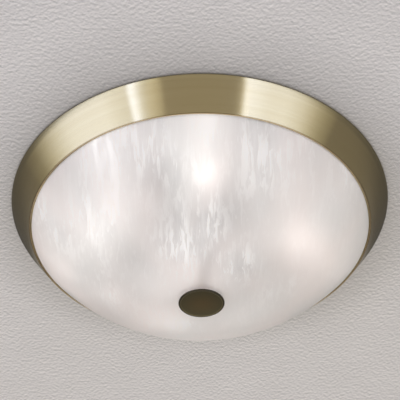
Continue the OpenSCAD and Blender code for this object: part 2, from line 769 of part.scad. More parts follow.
// Lamp cap: thin sleeve with a rolled screw thread that fades out at both ends, and a plain
// collar at the glass. Its radius is a wave along the axis, shifted by one pitch per turn.
module lamp_cap(i) {
    low = base_len - 1;
    thread_low = low + 1.5;
    thread_high = cap_end - collar_len - 1;
    rows = ceil((thread_high - thread_low) / thread_pitch * thread_steps);
    core = cap_r - thread_depth;
    heights = concat([low], [for (k = [0:rows]) thread_low + (thread_high - thread_low) * k / rows],
        [cap_end - collar_len, cap_end]);
    last = len(heights) - 1;
    inner = core - 0.5;
    outer = [for (k = [0:last], j = [0:thread_sides - 1])
        let (z = heights[k],
             turn = j / thread_sides,
             inset = min(z - thread_low, thread_high - z),
             fade = k == 0 || k >= last - 1 ? 0 : min(1, max(0, inset / thread_pitch * 2)),
             wave = (1 + cos(360 * (z / thread_pitch - turn))) / 2,
             r = k == 0 ? core - 0.6 : k >= last - 1 ? cap_r - 0.1 : core + thread_depth * wave * fade)
        [r * cos(360 * turn), r * sin(360 * turn), z]];
    inside = [for (z = [cap_end, low], j = [0:thread_sides - 1])
        [inner * cos(360 * j / thread_sides), inner * sin(360 * j / thread_sides), z]];
    rings = last + 3;
    faces = [for (k = [0:rings - 1], j = [0:thread_sides - 1])
        let (a = k * thread_sides + j,
             b = k * thread_sides + (j + 1) % thread_sides,
             next = (k + 1) % rings - k,
             c = a + next * thread_sides,
             d = b + next * thread_sides)
        each [[a, c, b], [b, c, d]]];
    color("lightgray") on_lamp(i) polyhedron(points = concat(outer, inside), faces = faces);
}

// Black glass base of a lamp, between the cap and the contact
module lamp_base(i) {
    core = cap_r - thread_depth - 0.6;
    color("black") on_lamp(i) rotate_extrude($fn = 64) polygon([
        [0, contact_tip], [5.5, contact_tip], [core, base_len - 1], [core - 0.4, base_len - 1],
        [core - 0.4, base_len + 1], [0, base_len + 1]]);
}

// Soldered centre contact
module lamp_contact(i) {
    color("silver") on_lamp(i) rotate_extrude($fn = 48) polygon(concat(
        [[0, 0], [2.5, 0]], arc([2.5, 1.8], 1.8, -60, 0, 4), [[4.3, contact_tip], [0, contact_tip]]));
}

ceiling_pan();
brass_ring();
ring_rivets();
seat_ring();
cable_grommet();
centre_rod();
rod_nuts();
rod_washers();
lamp_carrier();
carrier_rivets();
lampholder(0);  // lampholder_1
lampholder(1);  // lampholder_2
lampholder(2);  // lampholder_3
holder_screws();
screw_shell(0);  // screw_shell_1
screw_shell(1);  // screw_shell_2
screw_shell(2);  // screw_shell_3
spring_contact(0);  // spring_contact_1
spring_contact(1);  // spring_contact_2
spring_contact(2);  // spring_contact_3
terminal_strip();
strip_screws();
terminal_clamps();
clamp_screws();
earth_tag();
earth_screw();
earth_lead();
live_lead(0);  // live_lead_1
neutral_lead(0);  // neutral_lead_1
live_lead(1);  // live_lead_2
neutral_lead(1);  // neutral_lead_2
live_lead(2);  // live_lead_3
neutral_lead(2);  // neutral_lead_3
glass_bowl();
bowl_bush();
finial_washer();
finial_neck();
finial_disc();
lamp_glass(0);  // lamp_glass_1
lamp_glass(1);  // lamp_glass_2
lamp_glass(2);  // lamp_glass_3
lamp_cap(0);  // lamp_cap_1
lamp_cap(1);  // lamp_cap_2
lamp_cap(2);  // lamp_cap_3
lamp_base(0);  // lamp_base_1
lamp_base(1);  // lamp_base_2
lamp_base(2);  // lamp_base_3
lamp_contact(0);  // lamp_contact_1
lamp_contact(1);  // lamp_contact_2
lamp_contact(2);  // lamp_contact_3
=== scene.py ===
# Flush ceiling light: a brushed brass ring, a cloudy glass bowl and three frosted lamps inside.
# The ceiling is at z = 0 and the light hangs below it. Lengths are in metres, but those of the ring,
# bowl, finial, lamps and leads, and of the places in the glass, are in millimetres.
import json

import bmesh
import bpy
import numpy as np
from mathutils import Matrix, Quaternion, Vector


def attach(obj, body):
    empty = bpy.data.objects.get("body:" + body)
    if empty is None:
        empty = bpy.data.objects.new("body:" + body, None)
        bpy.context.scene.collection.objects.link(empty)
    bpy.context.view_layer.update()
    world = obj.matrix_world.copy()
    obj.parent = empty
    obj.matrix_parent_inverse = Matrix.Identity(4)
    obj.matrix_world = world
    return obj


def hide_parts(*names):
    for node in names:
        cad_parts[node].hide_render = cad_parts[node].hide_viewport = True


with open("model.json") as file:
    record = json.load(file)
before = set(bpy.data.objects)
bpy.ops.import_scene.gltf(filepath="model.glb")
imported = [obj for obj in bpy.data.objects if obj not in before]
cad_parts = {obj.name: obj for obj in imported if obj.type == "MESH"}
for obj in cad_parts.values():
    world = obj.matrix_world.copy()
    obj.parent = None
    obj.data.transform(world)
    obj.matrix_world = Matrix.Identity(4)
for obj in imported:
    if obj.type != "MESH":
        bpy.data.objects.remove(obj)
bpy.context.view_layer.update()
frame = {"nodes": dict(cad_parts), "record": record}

scene = bpy.context.scene
scene.view_settings.view_transform = "Standard"
nodes = frame["nodes"]
mm = 0.001                  # metres in a millimetre
onePoint = 1e-7             # metres, below which two points of a mesh are one
slanted = (0.1, 0.23, 1.0)  # a direction that no lead runs along
noiseRange = (0.3, 0.7)     # nearly all of a noise lies between these
blendRange = (0.35, 0.65)   # and nearly all of two noises blended


def arc(centre, radius, start, end, steps):
    # centre + radius * (cos a, sin a), with a from start to end in degrees
    a = np.radians(np.linspace(start, end, steps + 1))[:, None]
    return np.asarray(centre) + radius * np.hstack([np.cos(a), np.sin(a)])


def leftOf(steps):
    # (x, y) turned a quarter to the left is (-y, x)
    return np.stack([-steps[:, 1], steps[:, 0]], axis=1)


def unit(vectors):
    # each vector over its own length
    return vectors / np.linalg.norm(vectors, axis=-1, keepdims=True)


def besidePath(path, distance):
    # each point moves along the mitre of its two edges, so that every edge moves by the distance
    steps = unit(np.diff(path, axis=0))
    before, after = np.vstack([steps[:1], steps]), np.vstack([steps, steps[-1:]])
    mitre = unit(leftOf(before) + leftOf(after))
    return path + mitre * distance / np.sum(mitre * leftOf(before), axis=1)[:, None]


def sheetOutline(path, thickness):
    # half the thickness to the left of the path on the way out, and to its right on the way back
    return np.vstack([besidePath(path, thickness / 2), besidePath(path, -thickness / 2)[::-1]])


def times(colour, factor):
    # each part of the colour times the factor
    return tuple(part * factor for part in colour)


def spin(outline, turns):
    # (r, z) at angle a becomes (r cos a, r sin a, z)
    a = np.linspace(0, 2 * np.pi, turns, endpoint=False)
    r, z = outline[:, :1], outline[:, 1:]
    return np.stack([r * np.cos(a), r * np.sin(a), z + 0 * a], axis=-1)


def smoothCurve(points, count):
    # a cubic through every point, whose slope at each is half the step between its neighbours
    points = np.asarray(points, float)
    last = len(points) - 1
    s = np.linspace(0, last, count)
    k = np.minimum(s.astype(int), last - 1)
    f = (s - k)[:, None]
    a, b = points[np.maximum(k - 1, 0)], points[k]
    c, d = points[k + 1], points[np.minimum(k + 2, last)]
    square, cube = 2 * a - 5 * b + 4 * c - d, 3 * b - a - 3 * c + d
    return 0.5 * (2 * b + (c - a) * f + square * f ** 2 + cube * f ** 3)


def tube(path, radius, sides):
    # a circle of the given radius in the plane across the path at each of its points
    ahead = unit(np.gradient(path, axis=0))
    across = unit(np.cross(slanted, ahead))
    up = np.cross(ahead, across)
    a = np.linspace(0, 2 * np.pi, sides, endpoint=False)[None, :, None]
    return path[:, None] + radius * (np.cos(a) * across[:, None] + np.sin(a) * up[:, None])


def gridMesh(name, grid, closed=False, caps=False, sharp=40):
    # a grid of points, joined round its second direction, and round its first where closed
    rows, cols = grid.shape[:2]
    i, j = np.arange(rows if closed else rows - 1)[:, None], np.arange(cols)[None, :]
    here, there = i * cols, (i + 1) % rows * cols
    quads = np.stack([here + j, here + (j + 1) % cols, there + (j + 1) % cols, there + j], axis=-1)
    mesh = bpy.data.meshes.new(name)
    mesh.from_pydata(grid.reshape(-1, 3).tolist(), [], quads.reshape(-1, 4).tolist())
    work = bmesh.new()
    work.from_mesh(mesh)
    if caps:
        bmesh.ops.holes_fill(work, edges=[e for e in work.edges if e.is_boundary], sides=cols)
    bmesh.ops.remove_doubles(work, verts=work.verts, dist=onePoint)
    bmesh.ops.recalc_face_normals(work, faces=work.faces)
    work.to_mesh(mesh)
    work.free()
    mesh.polygons.foreach_set("use_smooth", np.ones(len(mesh.polygons), bool))
    mesh.set_sharp_from_angle(angle=np.radians(sharp))
    piece = bpy.data.objects.new(name, mesh)
    scene.collection.objects.link(piece)
    return piece


def place(piece, body, slot, material, *replaced):
    # the piece rides on the body, wears the material and stands for the replaced solids
    piece.data.materials.append(material)
    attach(piece, body)
    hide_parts(*replaced)
    return piece


def mathNode(tree, operation, a, b=0.0, c=0.0):
    # numbers go into the node's own sockets, and outputs of other nodes are linked to them
    node = tree.nodes.new("ShaderNodeMath")
    node.operation = operation
    for socket, value in zip(node.inputs, (a, b, c)):
        if isinstance(value, (int, float)):
            socket.default_value = value
        else:
            tree.links.new(value, socket)
    return node.outputs[0]


class Finish:
    # one material, with short calls for the patterns that drive its shader
    def __init__(self, name, colour, roughness, metallic=0.0, **sockets):
        self.material = bpy.data.materials.new(name)
        self.material.use_nodes = True
        self.tree = self.material.node_tree
        self.shader = self.tree.nodes["Principled BSDF"]
        self.set("Base Color", (*colour, 1))
        self.set("Roughness", roughness)
        self.set("Metallic", metallic)
        for socket, value in sockets.items():
            self.set(socket.replace("_", " "), value)
        self.object = self.add("TexCoord").outputs["Object"]

    def set(self, socket, value):
        self.shader.inputs[socket].default_value = value

    def add(self, kind, **settings):
        node = self.tree.nodes.new("ShaderNode" + kind)
        for key, value in settings.items():
            setattr(node, key, value)
        return node

    def link(self, source, target):
        self.tree.links.new(source, target)

    def math(self, operation, a, b=0.0, c=0.0):
        return mathNode(self.tree, operation, a, b, c)

    def attribute(self, name):
        # a value that the piece's own mesh carries
        return self.add("Attribute", attribute_name=name).outputs["Fac"]

    def stretched(self, scale, source=None):
        # (x, y, z) of the object or the source, each times its own scale
        node = self.add("VectorMath", operation="MULTIPLY")
        self.link(source or self.object, node.inputs[0])
        node.inputs[1].default_value = scale
        return node.outputs[0]

    def noise(self, vector, scale=1.0, detail=3.0, rough=0.5, twist=0.0):
        node = self.add("TexNoise")
        self.link(vector, node.inputs["Vector"])
        settings = {"Scale": scale, "Detail": detail, "Roughness": rough, "Distortion": twist}
        for key, value in settings.items():
            node.inputs[key].default_value = value
        return node.outputs[0]

    def remap(self, value, low, high, toLow=0.0, toHigh=1.0):
        # a straight line from (low, toLow) to (high, toHigh), level beyond both
        node = self.add("MapRange")
        self.link(value, node.inputs["Value"])
        limits = {"From Min": low, "From Max": high, "To Min": toLow, "To Max": toHigh}
        for key, limit in limits.items():
            node.inputs[key].default_value = limit
        return node.outputs[0]

    def mix(self, share, a, b):
        # (1 - share) * a + share * b, where a and b are colours or outputs
        node = self.add("Mix", data_type="RGBA")
        self.link(share, node.inputs[0])
        for socket, value in ((node.inputs[6], a), (node.inputs[7], b)):
            if isinstance(value, tuple):
                socket.default_value = (*value, 1)
            else:
                self.link(value, socket)
        return node.outputs[2]

    def colour(self, source):
        self.link(source, self.shader.inputs["Base Color"])

    def rough(self, noise, low, high):
        # the roughness runs from low to high with the noise
        self.link(self.remap(noise, *noiseRange, low, high), self.shader.inputs["Roughness"])

    def surface(self, source):
        self.link(source, self.tree.nodes["Material Output"].inputs["Surface"])

    def blend(self, share, a, b):
        # share * a + (1 - share) * b, where a and b are noises
        return self.math("MULTIPLY_ADD", a, share, self.math("MULTIPLY", b, 1 - share))

    def roundNoise(self, x, y, along, slow, fine, *settings):
        # noise at (slow x, slow y, fine along), which runs long round the centre line
        spot = self.joined(self.math("MULTIPLY", x, slow), self.math("MULTIPLY", y, slow),
                           self.math("MULTIPLY", along, fine))
        return self.noise(spot, 1.0, *settings)

    def relief(self, height, depth, strength=1.0):
        # the surface leans as if height, from 0 to 1, stood out by the depth
        node = self.add("Bump")
        node.inputs["Strength"].default_value = strength
        node.inputs["Distance"].default_value = depth
        self.link(height, node.inputs["Height"])
        self.link(node.outputs[0], self.shader.inputs["Normal"])

    def radiusAndHeight(self, shift=0.0):
        # x, y + shift, z, and the radius sqrt(x^2 + (y + shift)^2)
        parts = self.add("SeparateXYZ")
        self.link(self.object, parts.inputs[0])
        x, y, z = parts.outputs
        y = self.math("ADD", y, shift) if shift else y
        squares = self.math("ADD", self.math("MULTIPLY", x, x), self.math("MULTIPLY", y, y))
        return x, y, z, self.math("SQRT", squares)

    def joined(self, x, y, z):
        # a vector of three numbers or outputs
        node = self.add("CombineXYZ")
        for socket, value in zip(node.inputs, (x, y, z)):
            if isinstance(value, (int, float)):
                socket.default_value = value
            else:
                self.link(value, socket)
        return node.outputs[0]


def speckled(name, colour, roughness, metallic=0.0, drift=0.06, scale=60.0, spread=0.08, closer=3.1,
             depth=0.0, fine=900.0, **sockets):
    # cloudy drift of the colour, a closer one of the roughness, and a fine grain in the surface
    f = Finish(name, colour, roughness, metallic, **sockets)
    clouds = f.noise(f.object, scale, 4.0)
    f.colour(f.mix(f.remap(clouds, *noiseRange), times(colour, 1 - drift), times(colour, 1 + drift)))
    f.rough(f.noise(f.object, scale * closer), roughness - spread, roughness + spread)
    if depth:
        f.relief(f.noise(f.object, fine, 2.0), depth)
    return f.material


print("finishes")

brass = {
    "dark": (0.575, 0.48, 0.27),
    "light": (0.625, 0.535, 0.32),
    "edge": (0.80, 0.69, 0.41),      # painted highlight, brighter towards the ceiling
    "edgeFrom": -0.0065, "edgeTo": -0.0012,
    "crease": (0.34, 0.275, 0.155),  # painted shade: a dark line just above the rolled lip
    "creaseFrom": -0.0325, "creaseTo": -0.0329,
    "hem": (0.44, 0.33, 0.175),      # the rolled lip, painted darker as shade where it turns in to the glass
    "hemFrom": -0.0331, "hemTo": -0.0334,
    "roughness": 0.165,
    "smoother": 0.02, "rougher": 0.03,  # how far the lines change the roughness
    "across": 1.0,                      # how much sharper it mirrors along the brush lines than across
    "quarterTurn": 0.25,                # so that the lines run round the ring
    "lacquer": 0.7, "lacquerRoughness": 0.25,
    "lines": 2400.0, "lineRound": 9.0,  # how fine the lines are up the cone, and round it
    "bands": 160.0, "bandRound": 4.0,   # the same for the wide bands of tone
    "lineShare": 0.7,                   # of the tone; the bands have the rest
    "relief": 0.000012, "reliefShare": 0.5,
}


def brushedBrass(k):
    # spun and brushed round the centre line: the lines follow r + z, and run long round the ring
    f = Finish("ringBrass", k["light"], k["roughness"], 1.0, Anisotropic=k["across"],
               Anisotropic_Rotation=k["quarterTurn"], Coat_Weight=k["lacquer"],
               Coat_Roughness=k["lacquerRoughness"])
    tangent = f.add("Tangent", direction_type="RADIAL", axis="Z")
    f.link(tangent.outputs[0], f.shader.inputs["Tangent"])
    x, y, z, radius = f.radiusAndHeight()
    along = f.math("ADD", radius, z)
    lines = f.roundNoise(x, y, along, k["lineRound"], k["lines"], 4.0, 0.6)
    bands = f.roundNoise(x, y, along, k["bandRound"], k["bands"])
    share = f.blend(k["lineShare"], lines, bands)
    brushed = f.mix(f.remap(share, *blendRange), k["dark"], k["light"])
    # painted highlight: the brass brighter towards the ceiling
    edgeHighlighted = f.mix(f.remap(z, k["edgeFrom"], k["edgeTo"]), brushed, k["edge"])
    # painted shade: a dark line above the rolled lip, and the lip darker than the brass
    creaseShaded = f.mix(f.remap(z, k["creaseFrom"], k["creaseTo"]), edgeHighlighted, k["crease"])
    f.colour(f.mix(f.remap(z, k["hemFrom"], k["hemTo"]), creaseShaded, k["hem"]))
    f.rough(lines, k["roughness"] - k["smoother"], k["roughness"] + k["rougher"])
    f.relief(lines, k["relief"], k["reliefShare"])
    return f.material


cloud = {
    "grey": (0.79, 0.78, 0.765),
    "pink": (0.86, 0.82, 0.80),
    "between": (0.70, 0.70, 0.695),
    "flake": (1.0, 0.995, 0.98),
    "roughness": 0.38, "gloss": 0.2, "glossRoughness": 0.3, "relief": 0.00005, "reliefShare": 0.2,
    "scattered": 0.34, "blurred": 0.32,  # shares of the light that go through scattered, and only blurred
    "bend": 1.20, "blur": 0.80,
    "lessInHeight": (1.0, 1.0, 0.1),     # the patterns change little from top to bottom
    # each pattern: how fine it is along x, y and z, then its detail, roughness and twist
    "tints": ((13.0, 8.0, 8.0), 2.0), "patches": ((26.0, 11.0, 12.0), 2.0),
    "blots": ((85.0, 24.0, 30.0), 3.0, 0.6, 0.3), "strokes": ((300.0, 58.0, 85.0), 4.0, 0.6, 0.7),
    "wisps": ((45.0, 11.0, 16.0), 4.0, 0.6, 0.3), "hairs": ((330.0, 40.0, 40.0), 3.0, 0.6),
    # the levels of its noise between which each comes up, and then its least and greatest share
    "tintsUp": (0.36, 0.62), "patchesUp": (0.34, 0.50, 0.35, 1.0), "raggedUp": (0.58, 0.69),
    "wispsUp": (0.40, 0.70, 0.0, 0.5), "hairsUp": (0.50, 0.72, 0.0, 0.3),
    "inRagged": {"strokes": 0.7, "blots": 0.5},
    "betweenShare": 0.6,
    "glow": 0.34,       # light that the glass spreads from the lamps everywhere
    # where that light gathers, and where less of it is: x, y, size and peak of each place in the plan
    "pools": ((8, -140, 11, 0.45), (5, -180, 30, 0.70), (-100, -85, 35, 0.35), (105, -65, 35, 0.20),
              (-15, -40, 40, 0.40), (-150, -60, 45, 0.40), (0, 60, 60, 0.05), (0, 170, 95, 0.60),
              (-95, -155, 42, 0.60), (85, -145, 42, 0.25), (-35, 50, 38, 0.45), (45, 40, 38, 0.30),
              (150, -95, 38, 0.25), (-100, 20, 25, 0.20), (-80, -115, 20, 0.10), (-155, 10, 22, 0.30),
              (-150, 50, 26, 0.28), (158, 40, 24, 0.20), (-90, -105, 18, 0.15), (-50, -15, 26, 0.25),
              (-32, -168, 16, 0.20), (85, -110, 22, 0.12), (-8, -94, 12, 0.20)),
    "dips": ((-15, -95, 20, -0.23), (-36, -135, 22, -0.38), (-73, -60, 24, -0.32), (28, -110, 20, -0.30),
             (-130, -43, 18, -0.08), (-44, -96, 18, -0.13), (76, -40, 22, -0.14)),
    # a row of dips is the soft shade of the centre rod
    "rodShade": {"from": (1, -24), "to": (7.5, -63), "steps": 5, "size": 7,
                 "peakFrom": -0.43, "peakTo": -0.25},
    # where the white flakes gather, in the same terms
    "flakes": ((-50, -155, 28, 0.50), (55, -152, 32, 0.55), (-22, -145, 16, 0.50), (2, -98, 29, 1.0),
               (-20, -72, 22, 0.75), (-103, -85, 24, 0.40), (40, -48, 20, 0.80), (-155, -45, 25, 0.30),
               (-108, -38, 26, 0.20), (144, -101, 22, 0.30), (-64, -42, 16, 0.35), (-18, 54, 14, 0.35),
               (-106, -152, 26, 0.45), (-163, -58, 20, 0.30), (-100, 12, 26, 0.26), (121, -129, 25, 0.28),
               (84, 4, 20, 0.28)),
    "flakesElsewhere": 0.09,
    "dimGlow": (0.62, 0.59, 0.58),  # the glow's colour between the flakes
    "fullGlow": (1.0, 1.0, 1.0),    # and in them
}


def cloudyGlass(k):
    # flakes drawn out along y and gathered in patches, over slow pink and grey tints, greyer between
    # them. Part of the light is scattered back, part goes through scattered, and part through blurred
    f = Finish("cloudyGlass", k["pink"], k["roughness"], Coat_Weight=k["gloss"],
               Coat_Roughness=k["glossRoughness"])
    plan = f.stretched(k["lessInHeight"])

    def grain(pattern):
        scale, *settings = k[pattern]
        return f.noise(f.stretched(scale, plan), 1.0, *settings)

    tint = f.mix(f.remap(grain("tints"), *k["tintsUp"]), k["grey"], k["pink"])
    patches = f.math("MULTIPLY", f.remap(grain("patches"), *k["patchesUp"]), f.attribute("flakes"))
    blots = grain("blots")
    fromBlots = f.math("MULTIPLY", blots, k["inRagged"]["blots"])
    ragged = f.math("MULTIPLY_ADD", grain("strokes"), k["inRagged"]["strokes"], fromBlots)
    thin = f.math("ADD", f.remap(grain("wisps"), *k["wispsUp"]), f.remap(grain("hairs"), *k["hairsUp"]))
    share = f.math("MULTIPLY", f.math("MAXIMUM", f.remap(ragged, *k["raggedUp"]), thin), patches)
    ground = f.mix(f.math("MULTIPLY", patches, k["betweenShare"]), tint, k["between"])
    colour = f.mix(share, ground, k["flake"])
    f.colour(colour)
    f.relief(blots, k["relief"], k["reliefShare"])
    f.link(f.mix(share, k["dimGlow"], k["fullGlow"]), f.shader.inputs["Emission Color"])
    f.link(f.attribute("glow"), f.shader.inputs["Emission Strength"])
    scattered, blurred = f.add("BsdfTranslucent"), f.add("BsdfRefraction")
    for shader in (scattered, blurred):
        f.link(colour, shader.inputs["Color"])
    blurred.inputs["Roughness"].default_value = k["blur"]
    blurred.inputs["IOR"].default_value = k["bend"]
    through, whole = f.add("MixShader"), f.add("MixShader")
    through.inputs[0].default_value = k["blurred"] / (k["blurred"] + k["scattered"])
    whole.inputs[0].default_value = k["blurred"] + k["scattered"]
    f.link(scattered.outputs[0], through.inputs[1])
    f.link(blurred.outputs[0], through.inputs[2])
    f.link(f.shader.outputs[0], whole.inputs[1])
    f.link(through.outputs[0], whole.inputs[2])
    f.surface(whole.outputs[0])
    return f.material


lampGlow = {
    "glass": (0.93, 0.92, 0.89), "roughness": 0.4, "uneven": 0.06, "scale": 500.0,
    "fine": 1400.0, "relief": 0.00002, "reliefShare": 0.3,
    "colour": (1.0, 0.97, 0.94),
    "even": 1.5,
    "tip": (1.5, 1.5, 0.6),   # added towards the tip of each globe
    "spot": (3.6, 4.2, 0.7),  # added where the filament shines through, and the way there from the centre
    "spotTo": ((-0.20, -0.80, -0.56), (0.25, -0.93, -0.28), (0.03, -0.66, -0.75)),
    "spotSize": 10.0,         # higher is smaller
}


def frostedGlass(k):
    # etched inside, and as bright as the attribute that its mesh carries
    f = Finish("frostedGlass", k["glass"], k["roughness"])
    f.set("Emission Color", (*k["colour"], 1))
    f.link(f.attribute("glow"), f.shader.inputs["Emission Strength"])
    f.rough(f.noise(f.object, k["scale"]), k["roughness"] - k["uneven"], k["roughness"] + k["uneven"])
    f.relief(f.noise(f.object, k["fine"], 2.0), k["relief"], k["reliefShare"])
    return f.material


bronze = {
    "middle": (0.100, 0.068, 0.026), "face": (0.074, 0.060, 0.026),
    "middleTo": 0.004, "faceFrom": 0.021,           # radii, between which the middle turns to the face
    # the raised rim is painted darker as shade
    "rim": (0.050, 0.040, 0.022), "rimFrom": 0.0222, "rimTo": 0.0232,
    "rimGlint": (0.155, 0.130, 0.062),                  # painted highlight: a thin brighter line at the rim's inner edge
    "glintFrom": 0.0213, "glintAt": 0.0219, "glintTo": 0.0226,
    "roughness": 0.38, "smoother": 0.06, "rougher": 0.08, "lacquer": 0.4, "lacquerRoughness": 0.3,
    "rings": 2500.0, "ringRound": 20.0,             # how fine the turning rings are outwards and round
    "uneven": 0.6, "relief": 0.00002, "reliefShare": 0.3,
}


def darkBronze(k):
    # turned and lacquered, with fine turning rings, a browner middle, painted shade on the rim and a
    # painted highlight inside it
    f = Finish("darkBronze", k["face"], k["roughness"], 1.0, Coat_Weight=k["lacquer"],
               Coat_Roughness=k["lacquerRoughness"])
    x, y, z, radius = f.radiusAndHeight()
    rings = f.roundNoise(x, y, radius, k["ringRound"], k["rings"], 3.0, 0.6)
    uneven = f.math("MULTIPLY", f.math("SUBTRACT", rings, 0.5), k["uneven"])
    outward = f.math("ADD", f.remap(radius, k["middleTo"], k["faceFrom"]), uneven)
    # painted highlight: a thin bright line at the rim's inner edge
    rimGlint = f.math("MULTIPLY", f.remap(radius, k["glintFrom"], k["glintAt"]),
                  f.remap(radius, k["glintAt"], k["glintTo"], 1.0, 0.0))
    face = f.mix(outward, k["middle"], k["face"])
    # painted shade: the raised rim darker
    face = f.mix(f.remap(radius, k["rimFrom"], k["rimTo"]), face, k["rim"])
    f.colour(f.mix(rimGlint, face, k["rimGlint"]))
    f.rough(rings, k["roughness"] - k["smoother"], k["roughness"] + k["rougher"])
    f.relief(rings, k["relief"], k["reliefShare"])
    return f.material


def turnedMetal(name, dark, light, roughness, spread=0.08, fine=1500.0, drawn=60.0, slow=45.0,
                depth=0.00001, share=0.3):
    # fine marks drawn out across z, with a slow change of tone
    f = Finish(name, light, roughness, 1.0)
    marks = f.noise(f.stretched((drawn, drawn, fine)), 1.0, 3.0, 0.6)
    f.colour(f.mix(f.remap(f.blend(0.5, marks, f.noise(f.object, slow)), *blendRange), dark, light))
    f.rough(marks, roughness - spread, roughness + spread)
    f.relief(marks, depth, share)
    return f.material


finishes = {
    "pan_paint": speckled("panPaint", (0.80, 0.80, 0.78), 0.38, drift=0.02, scale=25.0, spread=0.05,
                          depth=0.00004, fine=700.0),
    "ring_brass": brushedBrass(brass),
    "rivet_metal": speckled("rivetMetal", (0.70, 0.70, 0.71), 0.42, 1.0, drift=0.08, scale=400.0,
                            depth=0.00002),
    "seat_foam": speckled("seatFoam", (0.80, 0.79, 0.75), 0.85, drift=0.05, scale=200.0, depth=0.00008,
                          fine=1600.0),
    "grommet_rubber": speckled("grommetRubber", (0.035, 0.035, 0.036), 0.6, drift=0.2, scale=180.0,
                               depth=0.00003),
    "rod_brass": turnedMetal("rodBrass", (0.52, 0.38, 0.16), (0.68, 0.54, 0.27), 0.3),
    "zinc_steel": speckled("zincSteel", (0.62, 0.63, 0.65), 0.32, 1.0, drift=0.1, scale=260.0,
                           depth=0.00001),
    "carrier_steel": speckled("carrierSteel", (0.56, 0.58, 0.60), 0.36, 1.0, drift=0.12, scale=140.0,
                              depth=0.00002),
    "porcelain": speckled("porcelain", (0.84, 0.83, 0.79), 0.2, drift=0.03, scale=70.0, spread=0.06,
                          depth=0.00003, fine=300.0, Coat_Weight=0.6, Coat_Roughness=0.08),
    "shell_brass": turnedMetal("shellBrass", (0.58, 0.45, 0.2), (0.72, 0.6, 0.32), 0.28),
    "spring_bronze": speckled("springBronze", (0.62, 0.40, 0.20), 0.3, 1.0, drift=0.12, scale=300.0),
    "strip_plastic": speckled("stripPlastic", (0.80, 0.80, 0.77), 0.5, drift=0.03, scale=120.0,
                              depth=0.00003, fine=1200.0),
    "tinned_copper": speckled("tinnedCopper", (0.66, 0.66, 0.65), 0.28, 1.0, drift=0.1, scale=300.0),
    "lead_live": speckled("leadLive", (0.16, 0.065, 0.028), 0.42, drift=0.12, scale=300.0,
                          depth=0.00002),
    "lead_neutral": speckled("leadNeutral", (0.028, 0.09, 0.33), 0.42, drift=0.12, scale=300.0,
                             depth=0.00002),
    "cloudy_glass": cloudyGlass(cloud),
    "bush_silicone": speckled("bushSilicone", (0.72, 0.72, 0.70), 0.55, drift=0.05, scale=200.0,
                              depth=0.00003),
    "dark_bronze": darkBronze(bronze),
    "frosted_glass": frostedGlass(lampGlow),
    "cap_metal": turnedMetal("capMetal", (0.60, 0.60, 0.58), (0.76, 0.76, 0.74), 0.3),
    "black_glass": speckled("blackGlass", (0.012, 0.012, 0.014), 0.1, drift=0.2, scale=200.0, spread=0.04),
    "solder": speckled("solder", (0.55, 0.55, 0.55), 0.42, 1.0, drift=0.15, scale=700.0, depth=0.00004),
}

stripes = {
    "ground": (0.09, 0.28, 0.035), "stripe": (0.82, 0.68, 0.03), "count": 2, "edge": 0.08,
    "roughness": 0.42, "fine": 900.0, "relief": 0.00002,
    "turn": 12.0,  # rings of the lead's mesh to one turn of its stripes
}


def stripedLead(k):
    # stripes that wind along the lead: sin(2 pi (count u + v)), with u round it and v along it in turns
    f = Finish("leadEarth", k["ground"], k["roughness"])
    uv = f.add("UVMap", uv_map="lead")
    parts = f.add("SeparateXYZ")
    f.link(uv.outputs[0], parts.inputs[0])
    turns = f.math("MULTIPLY_ADD", parts.outputs[0], float(k["count"]), parts.outputs[1])
    wave = f.math("SINE", f.math("MULTIPLY", turns, 2 * np.pi))
    f.colour(f.mix(f.remap(wave, -k["edge"], k["edge"]), k["ground"], k["stripe"]))
    f.relief(f.noise(f.object, k["fine"], 2.0), k["relief"])
    return f.material


finishes["lead_earth"] = stripedLead(stripes)

slotOf = {part["node"]: part["material_slot"] for part in frame["record"]["subparts"]}
for name, node in nodes.items():
    for holder in node.material_slots:
        holder.material = finishes[slotOf[name]]


print("brass ring")

ring = {
    "outerRadius": 210.0, "rimRadius": 188.0, "height": 33.5, "sheet": 0.6,
    "edgeBend": 1.0, "shoulderBend": 50.0, "hemBend": 0.5,            # radii of the sheet's middle line
    "shoulderTurn": 6.0,                                              # degrees
    "panRadius": 199.0, "panSheet": 1.0, "flange": 14.0, "joggle": 0.8, "joggleRun": 1.4,
    "shelf": 9.0, "shelfUp": 3.9, "shelfLip": 3.0, "wallBend": 1.2,   # what the glass closes against
    "bendSteps": 14, "shoulderSteps": 18, "wallSteps": 8, "turns": 320,
}


